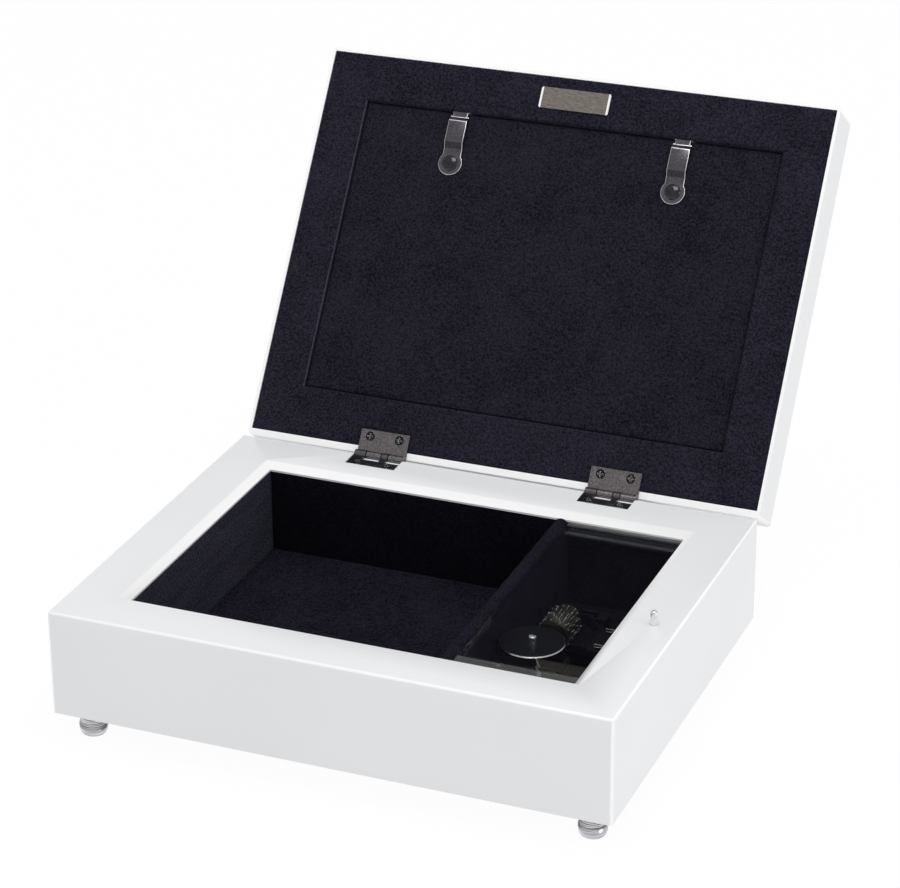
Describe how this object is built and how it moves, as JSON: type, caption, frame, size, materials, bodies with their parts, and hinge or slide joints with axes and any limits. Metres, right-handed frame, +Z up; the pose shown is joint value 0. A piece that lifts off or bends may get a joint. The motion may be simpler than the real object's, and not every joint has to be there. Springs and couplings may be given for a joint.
{
  "type": "wind up music box",
  "caption": "Lacquered keepsake music box with a photo frame lid, suede lined storage, a glass covered wind up comb movement, ball feet and a lid operated stop button.",
  "frame": {"origin": "centre of the base's outline, on the surface the feet stand on", "axes": "+X to the music compartment's side, +Y from the front to the hinges, +Z up"},
  "size_m": [0.229, 0.296, 0.198],
  "materials": {
    "white_lacquer": "gloss lacquer",
    "plywood": "raw wood",
    "satin_silver": "satin turned",
    "steel": "bright",
    "blue_black_suede_board": "suede over board",
    "blue_black_suede": "suede",
    "clear_glass": "clear",
    "ferrite": "matte",
    "gunmetal": "satin gunmetal",
    "black_nylon": "matte",
    "black_zinc": "black painted casting",
    "brass": "dull",
    "white_card": "matte card"
  },
  "bodies": {
    "base": {"wall_front": "white_lacquer", "wall_back": "white_lacquer", "wall_left": "white_lacquer", "wall_right": "white_lacquer", "rim_front": "white_lacquer", "rim_back": "white_lacquer", "rim_left": "white_lacquer", "rim_right": "white_lacquer", "bottom_panel": "plywood", "corner_blocks": "plywood", "feet": "satin_silver", "foot_studs": "steel", "storage_floor": "blue_black_suede", "storage_lining_front": "blue_black_suede_board", "storage_lining_back": "blue_black_suede_board", "storage_lining_left": "blue_black_suede_board", "divider": "blue_black_suede_board", "music_floor": "blue_black_suede", "music_linings": "blue_black_suede_board", "glass_ledges": "blue_black_suede_board", "music_glass": "clear_glass", "latch_magnet": "ferrite", "hinge_base_leaves": "gunmetal", "hinge_base_screws": "gunmetal", "hinge_pins": "gunmetal", "button_bush": "black_nylon", "movement_block": "plywood", "bedplate": "black_zinc", "movement_screws": "steel", "spring_housing": "black_zinc", "housing_screws": "steel", "mainspring": "steel", "comb": "gunmetal", "comb_screws": "steel", "governor_frame": "gunmetal", "governor_screws": "steel"},
    "lid": {"lid_front_rail": "white_lacquer", "lid_back_rail": "white_lacquer", "lid_left_rail": "white_lacquer", "lid_right_rail": "white_lacquer", "lid_suede": "blue_black_suede", "backing_board": "blue_black_suede_board", "photo_card": "white_card", "photo_glass": "clear_glass", "strike_plate": "steel", "clip_rivets": "gunmetal", "hinge_lid_leaves": "gunmetal", "hinge_lid_screws": "gunmetal"},
    "clip_left": {"turn_clip_left": "gunmetal"},
    "clip_right": {"turn_clip_right": "gunmetal"},
    "button": {"button_pin": "steel"},
    "stop_lever": {"stop_lever": "steel"},
    "winding": {"winding_arbor": "steel", "great_wheel": "black_nylon", "winding_key": "steel"},
    "cylinder": {"pinned_cylinder": "brass", "cylinder_arbor": "steel", "cylinder_gear": "black_nylon"},
    "governor": {"governor_wheel": "black_nylon"},
    "fan": {"fan_worm": "black_nylon"}
  },
  "joints": [
    {"name": "lid_hinge", "type": "hinge", "parent": "base", "child": "lid", "pos_m": [0, 0.0884, 0.0552], "axis": [1, 0, 0], "range_deg": [0, 124.7]},
    {"name": "clip_left_turn", "type": "hinge", "parent": "lid", "child": "clip_left", "pos_m": [-0.05, 0.16568, 0.16048], "axis": [0, 0.8221, -0.5693], "range_deg": [0, 90]},
    {"name": "clip_right_turn", "type": "hinge", "parent": "lid", "child": "clip_right", "pos_m": [0.05, 0.16568, 0.16048], "axis": [0, -0.8221, 0.5693], "range_deg": [0, 90]},
    {"name": "button_slide", "type": "slide", "parent": "base", "child": "button", "axis": [0, 0, -1], "range_m": [0, 0.0051]},
    {"name": "stop_lever_turn", "type": "hinge", "parent": "base", "child": "stop_lever", "pos_m": [0.0864, 0, 0.0246], "axis": [0, 1, 0], "range_deg": [0, 16.3]},
    {"name": "key_turn", "type": "hinge", "parent": "base", "child": "winding", "pos_m": [0.057, -0.0174, 0], "axis": [0, 0, 1], "continuous": true},
    {"name": "cylinder_spin", "type": "hinge", "parent": "base", "child": "cylinder", "pos_m": [0.0598, 0, 0.037], "axis": [0, 1, 0], "continuous": true},
    {"name": "governor_spin", "type": "hinge", "parent": "base", "child": "governor", "pos_m": [0.0666, 0, 0.03383], "axis": [0, 1, 0], "continuous": true},
    {"name": "fan_spin", "type": "hinge", "parent": "base", "child": "fan", "pos_m": [0.07205, 0.0182, 0], "axis": [0, 0, 1], "continuous": true}
  ],
  "couplings": [
    {"joint": "button_slide", "follows": "lid_hinge", "m_per_rad": 0.0023433},
    {"joint": "stop_lever_turn", "follows": "lid_hinge", "ratio": 0.13062},
    {"joint": "cylinder_spin", "follows": "key_turn", "ratio": 4},
    {"joint": "governor_spin", "follows": "key_turn", "ratio": -12.667},
    {"joint": "fan_spin", "follows": "key_turn", "ratio": -126.67}
  ]
}
